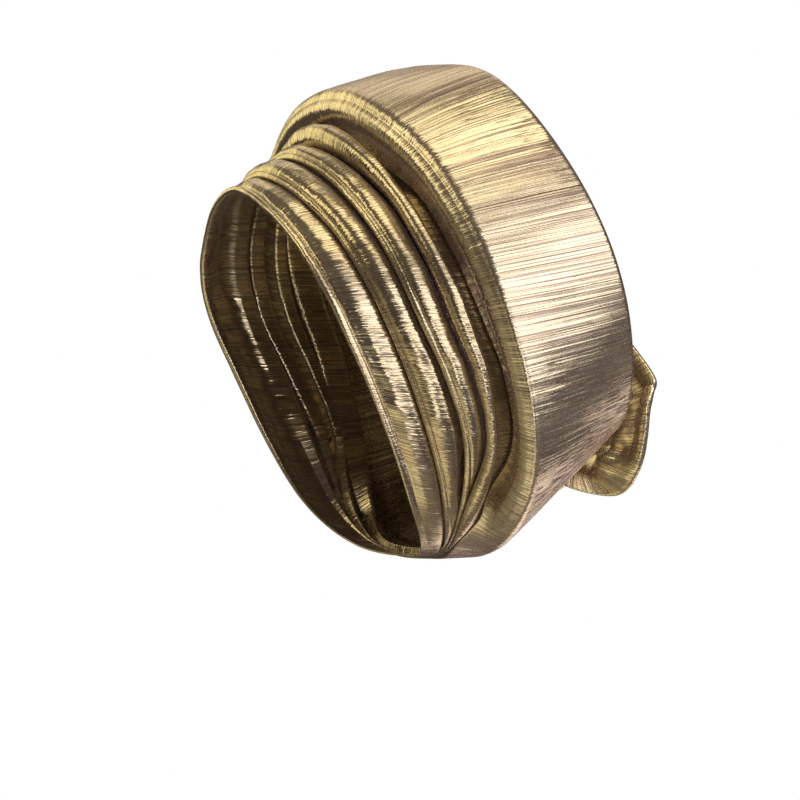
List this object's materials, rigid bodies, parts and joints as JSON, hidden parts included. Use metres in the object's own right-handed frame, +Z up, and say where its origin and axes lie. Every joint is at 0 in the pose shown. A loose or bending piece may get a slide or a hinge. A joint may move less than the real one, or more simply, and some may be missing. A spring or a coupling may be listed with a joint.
{
  "type": "tied gele head tie",
  "caption": "Stiff metallic cloth head wrap in its worn form: a forehead band, fanned pleats, a wide drum-shaped crown with a rounded front lip, a closed back and a bow at the nape.",
  "frame": {"origin": "middle of the head that holds the wrap up", "axes": "+Z up, -Y the way the wearer faces, +X the wearer's left"},
  "size_m": [0.2482, 0.2259, 0.2576],
  "materials": {
    "band_cloth": "satin",
    "pleat_cloth": "satin",
    "crown_cloth": "satin",
    "bow_cloth": "satin"
  },
  "bodies": {
    "root": {"forehead_band": "band_cloth", "pleat_second": "pleat_cloth", "pleat_third": "pleat_cloth", "pleat_roll": "pleat_cloth", "crown_drum": "crown_cloth", "crown_back": "crown_cloth", "bow_loop_left": "bow_cloth", "bow_loop_right": "bow_cloth", "bow_knot": "bow_cloth"}
  },
  "joints": []
}
